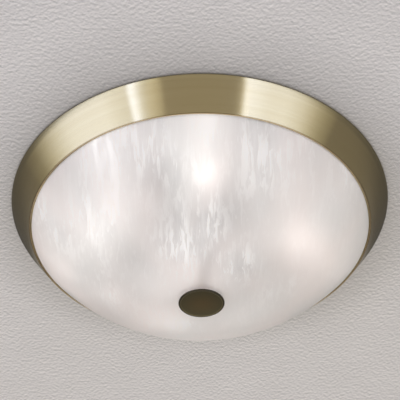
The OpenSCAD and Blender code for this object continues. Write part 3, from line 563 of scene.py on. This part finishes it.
def ringOutline(k):
    # edge, shoulder and hem are arcs, and the cone is the line that touches the last two.
    # The shoulder starts a few degrees steeper than the cone
    t = k["sheet"]
    edge = np.array([k["outerRadius"] - t / 2 - k["edgeBend"], -t / 2 - k["edgeBend"]])
    leave = k["shoulderTurn"] - np.degrees(np.arctan2(k["outerRadius"] - k["rimRadius"], k["height"]))
    lean = np.radians(leave)
    shoulder = edge - (k["shoulderBend"] - k["edgeBend"]) * np.array([np.cos(lean), np.sin(lean)])
    hem = np.array([k["rimRadius"] - t / 2 - k["hemBend"], -k["height"] + t / 2 + k["hemBend"]])
    span = shoulder - hem
    between = np.arccos((k["hemBend"] - k["shoulderBend"]) / np.linalg.norm(span))
    facing = np.degrees(np.arctan2(span[1], span[0]) - between)
    wall = hem[0] - k["hemBend"]
    shelf = -k["height"] + k["shelfUp"] + t / 2
    inner = k["rimRadius"] - 2 * t - 2 * k["hemBend"] - k["shelf"]
    flat = -k["panSheet"] - t / 2
    bend = k["wallBend"]
    path = np.vstack([
        [[k["panRadius"] - k["flange"], flat], [k["panRadius"] + k["joggle"], flat],
         [k["panRadius"] + k["joggle"] + k["joggleRun"], -t / 2]],
        arc(edge, k["edgeBend"], 90, leave, k["bendSteps"]),
        arc(shoulder, k["shoulderBend"], leave, facing, k["shoulderSteps"])[1:],
        arc(hem, k["hemBend"], facing, -180, k["bendSteps"]),
        arc([wall - bend, shelf - bend], bend, 0, 90, k["wallSteps"]),
        arc([inner + bend, shelf + bend], bend, 270, 180, k["wallSteps"]),
        [[inner, shelf + k["shelfLip"]]],
    ])
    return sheetOutline(path, t) * mm


brassRing = gridMesh("brassRing", spin(ringOutline(ring), ring["turns"]), closed=True, sharp=50)
place(brassRing, "root", "ring_brass", finishes["ring_brass"], "brass_ring")


print("glass bowl")

bowl = {
    "rimRadius": 185.0, "glass": 4.0,
    "top": -31.0, "rimLevel": -33.5, "low": -118.5,  # the ground rim, the outer rim and the lowest point
    "hole": 9.76, "rimBevel": 0.5, "footBevel": 0.2, "holeBevel": 0.3, "rings": 90, "turns": 320,
}


def bowlOutline(k):
    # outside and inside are arcs about one centre, joined by the ground rim and the hole
    depth = k["rimLevel"] - k["low"]
    outside = (k["rimRadius"] ** 2 + depth ** 2) / (2 * depth)
    centre = k["low"] + outside
    inside = outside - k["glass"]
    rim, top, b, soft = k["rimRadius"], k["top"], k["rimBevel"], k["holeBevel"]

    def reach(r, radius):
        # the angle at which an arc of radius r is that far from the centre line
        return np.degrees(np.arcsin(radius / r)) - 90

    def level(r, z):
        # the angle at which an arc of radius r is at the height z
        return np.degrees(np.arcsin((z - centre) / r))

    foot = centre - np.sqrt(outside ** 2 - rim ** 2)
    hole, last = k["hole"] + soft, rim - k["footBevel"]
    outer = arc([0, centre], outside, reach(outside, hole), reach(outside, last), k["rings"])
    inner = arc([0, centre], inside, level(inside, top - b), reach(inside, hole), k["rings"])
    return np.vstack([
        outer, [[rim, foot + soft], [rim, top - b], [rim - b, top], [inner[0, 0] + b, top]], inner,
        [[k["hole"], inner[-1, 1] - soft], [k["hole"], outer[0, 1] + soft]],
    ]) * mm


glassBowl = gridMesh("glassBowl", spin(bowlOutline(bowl), bowl["turns"]), closed=True, sharp=30)
place(glassBowl, "bowl", "cloudy_glass", finishes["cloudy_glass"], "glass_bowl")


def pointsOf(piece):
    # one row of x, y, z for each vertex
    points = np.zeros(len(piece.data.vertices) * 3)
    piece.data.vertices.foreach_get("co", points)
    return points.reshape(-1, 3)


def setValue(piece, name, values):
    # a value at each vertex, which a material reads by name
    piece.data.attributes.new(name, "FLOAT", "POINT").data.foreach_set("value", values)


def spread(points, even, places):
    # even + the sum of peak * exp(-(d / size)^2), with d in plan from each place
    values = np.full(len(points), even)
    for x, y, size, peak in places:
        values += peak * np.exp(-np.sum((points[:, :2] / mm - [x, y]) ** 2, axis=1) / size ** 2)
    return values


def rodShade(k):
    # places at even steps from the first to the last, whose peaks fade at even steps too
    places = np.linspace(k["from"], k["to"], k["steps"])
    peaks = np.linspace(k["peakFrom"], k["peakTo"], k["steps"])
    return tuple((x, y, k["size"], peak) for (x, y), peak in zip(places, peaks))


bowlPoints = pointsOf(glassBowl)
glowPlaces = cloud["pools"] + cloud["dips"] + rodShade(cloud["rodShade"])
setValue(glassBowl, "glow", spread(bowlPoints, cloud["glow"], glowPlaces))
flakes = spread(bowlPoints, cloud["flakesElsewhere"], cloud["flakes"])
setValue(glassBowl, "flakes", np.minimum(flakes, 1.0))


print("finial")

finial = {
    "radius": 24.2, "top": -121.2, "thick": 2.0, "edgeRound": 0.8,
    "rimHeight": 0.25, "rimWidth": 1.8, "rimStep": 0.7,
    "spigot": 4.0, "spigotDepth": 1.0, "edgeSteps": 8, "rimPoints": 9, "turns": 192,
}


def finialOutline(k):
    # a plate with round edges, whose face lies above its raised rim, with half a cosine wave between them
    r, top, low, e = k["radius"], k["top"], k["top"] - k["thick"], k["edgeRound"]
    step = r - k["rimWidth"]
    ease = np.linspace(0, np.pi, k["rimPoints"])[:, None]
    drop = np.hstack([step - k["rimStep"] * ease / np.pi, low + k["rimHeight"] * (1 - np.cos(ease)) / 2])
    return np.vstack([
        [[0, top - k["spigotDepth"]], [k["spigot"], top - k["spigotDepth"]], [k["spigot"], top]],
        arc([r - e, top - e], e, 90, 0, k["edgeSteps"]), arc([r - e, low + e], e, 0, -90, k["edgeSteps"]),
        drop, [[0, low + k["rimHeight"]]],
    ]) * mm


finialDisc = gridMesh("finialDisc", spin(finialOutline(finial), finial["turns"]), sharp=40)
place(finialDisc, "finial", "dark_bronze", finishes["dark_bronze"], "finial_disc")


print("lamps")

lamp = {
    "angles": (0.0, 180.0, 270.0), "height": -35.0,
    "contact": 36.0,  # from the centre line of the light to the lamp's contact, where its own axis starts
    "length": 102.0, "globe": 30.0, "neck": 14.2, "flare": 35.0, "stem": 11.1, "stemLow": 17.0,
    "stemOut": 0.2, "neckOut": 1.0,  # how far beyond the cap the stem ends and the neck starts
    "capRadius": 13.0, "capLow": 4.0, "capEnd": 26.0, "capWall": 0.65, "collar": 3.0, "collarIn": 0.1,
    "threadDepth": 0.9, "pitch": 3.629, "threadFrom": 1.5, "threadTo": 1.0, "turnedIn": 0.6,
    "flareSteps": 20, "globeSteps": 60, "turns": 128, "capRows": 150, "capSides": 96,
}


def alongLamp(grid, angle):
    # the lamp's own axis z is laid along the given direction, from its contact outwards
    a = np.radians(angle)
    x, y, z = np.moveaxis(grid, -1, 0)
    out = lamp["contact"] * mm + z
    across, beyond = out * np.cos(a) - y * np.sin(a), out * np.sin(a) + y * np.cos(a)
    return np.stack([across, beyond, lamp["height"] * mm - x], axis=-1)


def lampOutline(k):
    # stem, neck, a flare that touches neck and globe, and the globe to its tip
    centre = k["length"] - k["globe"]
    back = np.sqrt((k["globe"] + k["flare"]) ** 2 - (k["neck"] + k["flare"]) ** 2)
    meet = np.degrees(np.arctan2(back, k["neck"] + k["flare"]))
    return np.vstack([
        [[0, k["stemLow"]], [k["stem"], k["stemLow"]]],
        [[k["stem"], k["capEnd"] + k["stemOut"]], [k["neck"], k["capEnd"] + k["neckOut"]]],
        arc([k["neck"] + k["flare"], centre - back], k["flare"], 180, 180 - meet, k["flareSteps"]),
        arc([0, centre], k["globe"], -meet, 90, k["globeSteps"])[1:],
    ]) * mm


def capShell(k):
    # a wave along the axis that moves on by one pitch each turn, faded out at both ends
    low, core = k["capLow"], k["capRadius"] - k["threadDepth"]
    collar = k["capEnd"] - k["collar"]
    start, end = low + k["threadFrom"], collar - k["threadTo"]
    z = np.concatenate([[low], np.linspace(start, end, k["capRows"]), [collar, k["capEnd"]]])[:, None]
    turn = np.linspace(0, 1, k["capSides"], endpoint=False)[None, :]
    fade = np.clip(np.minimum(z - start, end - z) / k["pitch"] * 2, 0, 1)
    r = core + k["threadDepth"] * fade * (1 + np.cos(2 * np.pi * (z / k["pitch"] - turn))) / 2
    r[0], r[-2:] = core - k["turnedIn"], k["capRadius"] - k["collarIn"]
    z = np.vstack([z, [[k["capEnd"]], [low]]])
    r = np.vstack([r, np.full((2, k["capSides"]), core - k["capWall"])])
    a = 2 * np.pi * turn
    return np.stack([r * np.cos(a), r * np.sin(a), z + 0 * a], axis=-1) * mm


def lampGlowAt(points, number, k):
    # even + tip * (n . axis)^2 + spot * (n . d)^size, with n from the globe's centre to the point
    a = np.radians(lamp["angles"][number])
    axis = np.array([np.cos(a), np.sin(a), 0.0])
    centre = axis * (lamp["contact"] + lamp["length"] - lamp["globe"]) + [0, 0, lamp["height"]]
    away = unit(points - centre * mm)
    spot = unit(np.array(k["spotTo"][number]))
    return (k["even"] + k["tip"][number] * np.clip(away @ axis, 0, 1) ** 2
            + k["spot"][number] * np.clip(away @ spot, 0, 1) ** k["spotSize"])


for number, angle in enumerate(lamp["angles"], 1):
    body = f"lamp_{number}"
    glass = spin(lampOutline(lamp), lamp["turns"])
    globe = gridMesh(f"lampGlobe{number}", alongLamp(glass, angle), sharp=40)
    setValue(globe, "glow", lampGlowAt(pointsOf(globe), number - 1, lampGlow))
    place(globe, body, "frosted_glass", finishes["frosted_glass"], f"lamp_glass_{number}")
    cap = gridMesh(f"lampCap{number}", alongLamp(capShell(lamp), angle), closed=True, sharp=60)
    place(cap, body, "cap_metal", finishes["cap_metal"], f"lamp_cap_{number}")


print("leads")

lead = {
    "radius": 1.2, "sides": 20, "rings": 110, "grip": 3.0,
    "stripOut": 76.0, "level": -9.0, "pitch": 8.0, "middleWay": 3, "stripStraight": 3.0,
    "holderOut": 22.0, "holderReach": 18.5, "leadIn": 7.0, "holderStraight": (7.0, 2.0),
}
leadSides = (1, -1, 1)  # the side of each holder that its leads go in at
# the way of the terminal strip, the lamp, the tilt of the leads' end there, and the points between
leadRoutes = {
    "live_lead_1": (5, 0, 50, [[17, 62, -9], [24, 46, -11]]),
    "live_lead_2": (2, 1, 50, [[-12, 62, -9], [-22, 46, -11]]),
    "live_lead_3": (3, 2, 50, [[6, 62, -8], [30, 50, -6], [50, 24, -5], [52, -4, -5], [47, -24, -7],
                               [42, -31, -13], [31, -32, -15]]),
    "neutral_lead_1": (6, 0, 8, [[26, 62, -10], [31, 44, -24]]),
    "neutral_lead_2": (1, 1, 8, [[-20, 60, -10], [-30, 44, -24]]),
    "neutral_lead_3": (4, 2, 8, [[11, 64, -7], [34, 56, -5], [55, 28, -4.5], [57, -4, -4.5], [52, -28, -8],
                                 [44, -34, -20], [34, -32, -28]]),
}


def clampEnd(way):
    # two points straight out of the lead's way of the terminal strip
    x, y, z = (way - lead["middleWay"]) * lead["pitch"], lead["stripOut"], lead["level"]
    return [[x, y + lead["grip"], z], [x, y - lead["stripStraight"], z]]


def holderEnd(which, tilt):
    # three points straight into the holder's side, at its tilt above the lamp's axis
    a, t = np.radians(lamp["angles"][which]), np.radians(tilt)
    reach = lead["holderReach"] + np.array([*lead["holderStraight"], -lead["grip"]])
    along, side = lead["holderOut"] + lead["leadIn"], leadSides[which] * reach * np.cos(t)
    return np.stack([along * np.cos(a) - side * np.sin(a), along * np.sin(a) + side * np.cos(a),
                     lamp["height"] + reach * np.sin(t)], axis=1).tolist()


def leadPiece(name, points, slot, node):
    # a round tube along the smooth curve through the points
    path = smoothCurve(points, lead["rings"]) * mm
    piece = gridMesh(name, tube(path, lead["radius"] * mm, lead["sides"]), caps=True)
    return place(piece, "root", slot, finishes[slot], node)


for node, (way, which, tilt, middle) in leadRoutes.items():
    kind, number = node.split("_lead_")
    leadPiece(f"{kind}Lead{number}", clampEnd(way) + middle + holderEnd(which, tilt), f"lead_{kind}", node)

tag = {"x": -50.0, "y": 62.0, "level": -3.1, "leadFrom": 16.0, "leadTo": 10.0}
tagEnd = [[tag["x"] + out, tag["y"], tag["level"]] for out in (tag["leadFrom"], tag["leadTo"])]
earthRoute = clampEnd(0) + [[-24, 67, -7], [-28, 62.5, tag["level"] - 1.5]] + tagEnd
earth = leadPiece("earthLead", earthRoute, "lead_earth", "earth_lead")
flat = earth.data.uv_layers.new(name="lead")
corner = np.zeros(len(earth.data.loops), int)
earth.data.loops.foreach_get("vertex_index", corner)
u, v = corner % lead["sides"] / lead["sides"], corner // lead["sides"] / stripes["turn"]
flat.data.foreach_set("uv", np.stack([u, v], axis=1).ravel())


print("ceiling, lights and camera")

ceiling = {
    "size": 9.0, "above": 0.0006, "colour": (0.70, 0.668, 0.64), "roughness": 0.9,
    # soft shade round the ring: how dark it is, from which radius to which, and how far towards -y
    "shade": 0.60, "shadeFrom": 0.205, "shadeTo": 0.280, "shadeShift": 0.009,
    # trowelled ripples: how fine along x and y, how strong the painted light and shade on their sides is
    # and how far apart, how much closer together they lie towards -y and up to where, and their relief
    "rippleX": 255.0, "rippleY": 260.0, "grain": 1.08, "sides": 0.0019,
    "closer": 0.7, "closerYet": -0.5, "closerTo": 0.4, "relief": 0.0006,
    "ripple": (3.0, 0.6, 0.3),  # detail, roughness and twist of their noise
    # slow change of tone: how fine, how strong, and how much painted light brightens it towards +y
    "slow": 16.0, "slowDepth": 0.10, "lighter": 0.07,
    # how bright the brass shows it, and how much brighter towards +y
    "inMetal": 0.145, "farMetal": 0.36, "farFrom": 0.085, "farTo": 0.120,
}


def plaster(k):
    # ripples in relief, with painted light and shade on their sides, under a painted soft shade, and
    # painted lighter towards +y. Only rays from the camera, metal and glass meet it, and only from below
    f = Finish("plaster", k["colour"], k["roughness"])
    path, facing = f.add("LightPath"), f.add("NewGeometry")
    x, y, z, radius = f.radiusAndHeight(k["shadeShift"])
    near = f.remap(radius, k["shadeFrom"], k["shadeTo"])
    plain = f.mix(f.math("SQRT", near), times(k["colour"], k["shade"]), k["colour"])
    # finer = y - closer * held * (y + closerYet * held), with held as y kept within closerTo of 0
    held = f.math("MAXIMUM", f.math("MINIMUM", y, k["closerTo"]), -k["closerTo"])
    more = f.math("MULTIPLY_ADD", held, k["closerYet"], y)
    finer = f.math("SUBTRACT", y, f.math("MULTIPLY", f.math("MULTIPLY", held, k["closer"]), more))

    def ripple(shift):
        up = f.math("MULTIPLY", f.math("ADD", finer, shift), k["rippleY"])
        return f.noise(f.joined(f.math("MULTIPLY", x, k["rippleX"]), up, 0.0), 1.0, *k["ripple"])

    height = ripple(0.0)
    # painted light and shade: the ripple's height less its height a little way along y
    sides = f.math("MULTIPLY_ADD", f.math("SUBTRACT", height, ripple(k["sides"])), k["grain"], 1.0)
    # painted light: the ceiling lighter towards +y
    even = f.math("MULTIPLY_ADD", y, k["lighter"], 1.0 - k["slowDepth"] / 2)
    slow = f.math("MULTIPLY_ADD", f.noise(f.object, k["slow"]), k["slowDepth"], even)
    shaded = f.add("VectorMath", operation="SCALE")
    f.link(plain, shaded.inputs[0])
    f.link(f.math("MULTIPLY", sides, slow), shaded.inputs["Scale"])
    mirrored = f.mix(f.remap(y, k["farFrom"], k["farTo"]), times(k["colour"], k["inMetal"]),
                     times(k["colour"], k["inMetal"] + k["farMetal"]))
    f.colour(f.mix(path.outputs["Is Glossy Ray"], shaded.outputs[0], mirrored))
    f.relief(height, k["relief"])
    seen = f.math("MAXIMUM", path.outputs["Is Camera Ray"], path.outputs["Is Glossy Ray"])
    seen = f.math("MAXIMUM", seen, path.outputs["Is Transmission Ray"])
    shown = f.math("MULTIPLY", seen, f.math("SUBTRACT", 1.0, facing.outputs["Backfacing"]))
    clear, mixed = f.add("BsdfTransparent"), f.add("MixShader")
    f.link(shown, mixed.inputs[0])
    f.link(clear.outputs[0], mixed.inputs[1])
    f.link(f.shader.outputs[0], mixed.inputs[2])
    f.surface(mixed.outputs[0])
    return f.material


def ceilingSheet(k):
    # a flat square that faces down, just above the light
    s, z = k["size"] / 2, k["above"]
    mesh = bpy.data.meshes.new("ceiling")
    mesh.from_pydata([(-s, -s, z), (-s, s, z), (s, s, z), (s, -s, z)], [], [(0, 1, 2, 3)])
    sheet = bpy.data.objects.new("ceiling", mesh)
    scene.collection.objects.link(sheet)
    mesh.materials.append(plaster(k))
    return sheet


ceilingSheet(ceiling)

room = {"background": (0.80, 0.79, 0.78), "light": (1.0, 0.92, 0.80), "level": 0.26}


def paleRoom(k):
    # the camera sees the plain background, and the object is lit by the light
    world = bpy.data.worlds.new("room")
    scene.world = world
    world.use_nodes = True
    tree = world.node_tree
    path, mix = tree.nodes.new("ShaderNodeLightPath"), tree.nodes.new("ShaderNodeMix")
    mix.data_type = "RGBA"
    mix.inputs[6].default_value = (*times(k["light"], k["level"]), 1)
    mix.inputs[7].default_value = (*k["background"], 1)
    tree.links.new(path.outputs["Is Camera Ray"], mix.inputs[0])
    tree.links.new(mix.outputs[2], tree.nodes["Background"].inputs["Color"])


paleRoom(room)

cool, warm = (0.94, 1.0, 1.38), (1.0, 0.91, 0.76)
# green and blue of a band as shares of its red, where it is dark, and what full brightness adds
bandTint = {"green": (0.90, 0.105), "blue": (0.46, 0.44)}
aim = Vector((0, 0, -0.03))  # the point that every soft box faces
softBoxes = {
    # around: azimuth, height and distance from the centre line, or place: x, y and z. size: width, height.
    # level: brightness, where 1 shows as white. bands: shares of the width, and the brightness there.
    # lean: how the bands slant, so that the brushed cone shows their edges sharp
    "leftBox": {
        "around": (-152, -0.82, 2.1), "size": (4.2, 1.6), "level": 3.4, "tint": cool, "lean": (-0.11, 0.29),
        "bands": ((0.0, 0.0), (0.05, 0.02), (0.153, 0.055), (0.243, 0.165), (0.324, 0.28), (0.40, 0.365),
                  (0.474, 0.385), (0.60, 0.385), (0.66, 0.34), (0.734, 0.30), (0.752, 0.54), (0.770, 0.52),
                  (0.793, 0.42), (0.806, 0.34), (0.83, 0.27), (0.86, 0.20), (0.92, 0.14), (0.96, 0.10),
                  (1.0, 0.0)),
    },
    "rightBox": {
        "around": (-42, -0.86, 2.1), "size": (2.3, 1.65), "level": 2.0, "tint": cool, "lean": (-0.20, 0.24),
        "bands": ((0.0, 0.0), (0.045, 0.06), (0.075, 0.14), (0.095, 0.45), (0.125, 0.78), (0.185, 0.73),
                  (0.345, 0.61), (0.50, 0.60), (0.634, 0.48), (0.70, 0.38), (0.779, 0.24), (0.86, 0.14),
                  (0.932, 0.075), (0.97, 0.04), (1.0, 0.0)),
    },
    "frontWall": {"place": (0.0, -3.2, -1.7), "size": (3.4, 3.0), "level": 0.155, "tint": warm},
    "floorFill": {"place": (0.1, 0.5, -2.6), "size": (3.2, 3.2), "level": 1.20},
    "topFill": {"place": (0.3, -0.6, 2.4), "size": (3.0, 3.0), "level": 1.4},
}


def around(azimuth, height, distance):
    # (distance cos a, distance sin a, height), with a the azimuth
    a = np.radians(azimuth)
    return (distance * np.cos(a), distance * np.sin(a), height)


def bandedLight(data, k):
    # the share of the width is x - (y - 1/2) * (first + second * x), and the dimmer bands are warmer
    data.use_nodes = True
    tree = data.node_tree
    spot, parts = tree.nodes.new("ShaderNodeNewGeometry"), tree.nodes.new("ShaderNodeSeparateXYZ")
    ramp = tree.nodes.new("ShaderNodeValToRGB")
    tree.links.new(spot.outputs["Parametric"], parts.inputs[0])
    x, y = parts.outputs[:2]
    first, second = k["lean"]
    slant = mathNode(tree, "MULTIPLY", mathNode(tree, "SUBTRACT", y, 0.5),
                     mathNode(tree, "MULTIPLY_ADD", x, second, first))
    tree.links.new(mathNode(tree, "SUBTRACT", x, slant), ramp.inputs[0])
    tree.links.new(ramp.outputs[0], tree.nodes["Emission"].inputs["Color"])
    stops = ramp.color_ramp.elements
    while len(stops) < len(k["bands"]):
        stops.new(0.5)
    for stop, (share, bright) in zip(stops, k["bands"]):
        green, blue = (bright * (dark + more * k["level"] * bright) for dark, more in bandTint.values())
        stop.position, stop.color = share, (bright, green, blue, 1)


def softBox(name, k):
    # a lit rectangle that faces the light. Its power is level * pi * width * height
    data = bpy.data.lights.new(name, "AREA")
    data.shape, (data.size, data.size_y) = "RECTANGLE", k["size"]
    data.energy = k["level"] * np.pi * data.size * data.size_y
    data.color = k.get("tint", (1.0, 1.0, 1.0))
    if "bands" in k:
        bandedLight(data, k)
    box = bpy.data.objects.new(name, data)
    box.location = k["place"] if "place" in k else around(*k["around"])
    box.rotation_euler = (aim - box.location).to_track_quat("-Z", "Y").to_euler()
    box.visible_camera = False
    scene.collection.objects.link(box)


for name, settings in softBoxes.items():
    softBox(name, settings)

lens = {
    "length": 90.0, "sensor": 36.0, "shift": 0.039, "from": 0.05, "to": 30.0,
    "distance": 1.128, "below": 41.3, "roll": -1.0,
}
view = bpy.data.cameras.new("photoView")
view.lens, view.sensor_width, view.shift_y = lens["length"], lens["sensor"], lens["shift"]
view.clip_start, view.clip_end = lens["from"], lens["to"]
camera = bpy.data.objects.new("photoView", view)
below = np.radians(lens["below"])
camera.location = (0, -lens["distance"] * np.cos(below), -lens["distance"] * np.sin(below))
straight = (-Vector(camera.location)).to_track_quat("-Z", "Y")
camera.rotation_euler = (straight @ Quaternion((0, 0, 1), np.radians(lens["roll"]))).to_euler()
scene.collection.objects.link(camera)
scene.camera = camera

print("done")
